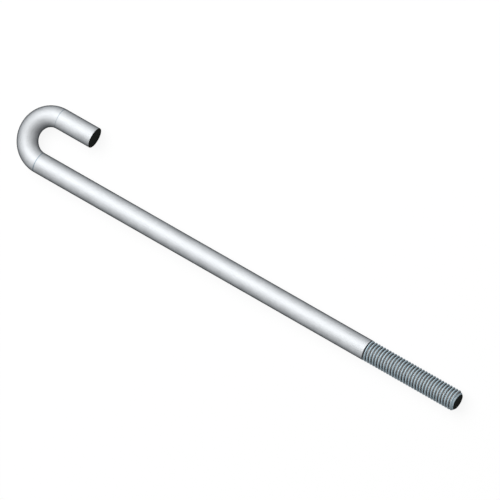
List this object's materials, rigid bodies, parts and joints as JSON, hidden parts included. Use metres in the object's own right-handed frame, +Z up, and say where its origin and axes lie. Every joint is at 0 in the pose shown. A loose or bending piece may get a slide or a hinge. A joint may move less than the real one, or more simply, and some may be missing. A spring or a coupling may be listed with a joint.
{
  "type": "j bolt",
  "caption": "Round steel bar bent into a J-shaped hook with a short parallel leg, and threaded at the other end.",
  "frame": {"origin": "on the long shank's axis, where the shank meets the bend", "axes": "+X along the shank towards the thread's tip, +Y from the shank towards the hook's short leg, +Z up, square to the hook's plane"},
  "size_m": [0.3175, 0.0412, 0.0126],
  "materials": {
    "steel": "smooth pale grey bar, darker in the thread's grooves and on the two cut ends"
  },
  "bodies": {
    "root": {"j_bolt": "steel"}
  },
  "joints": []
}
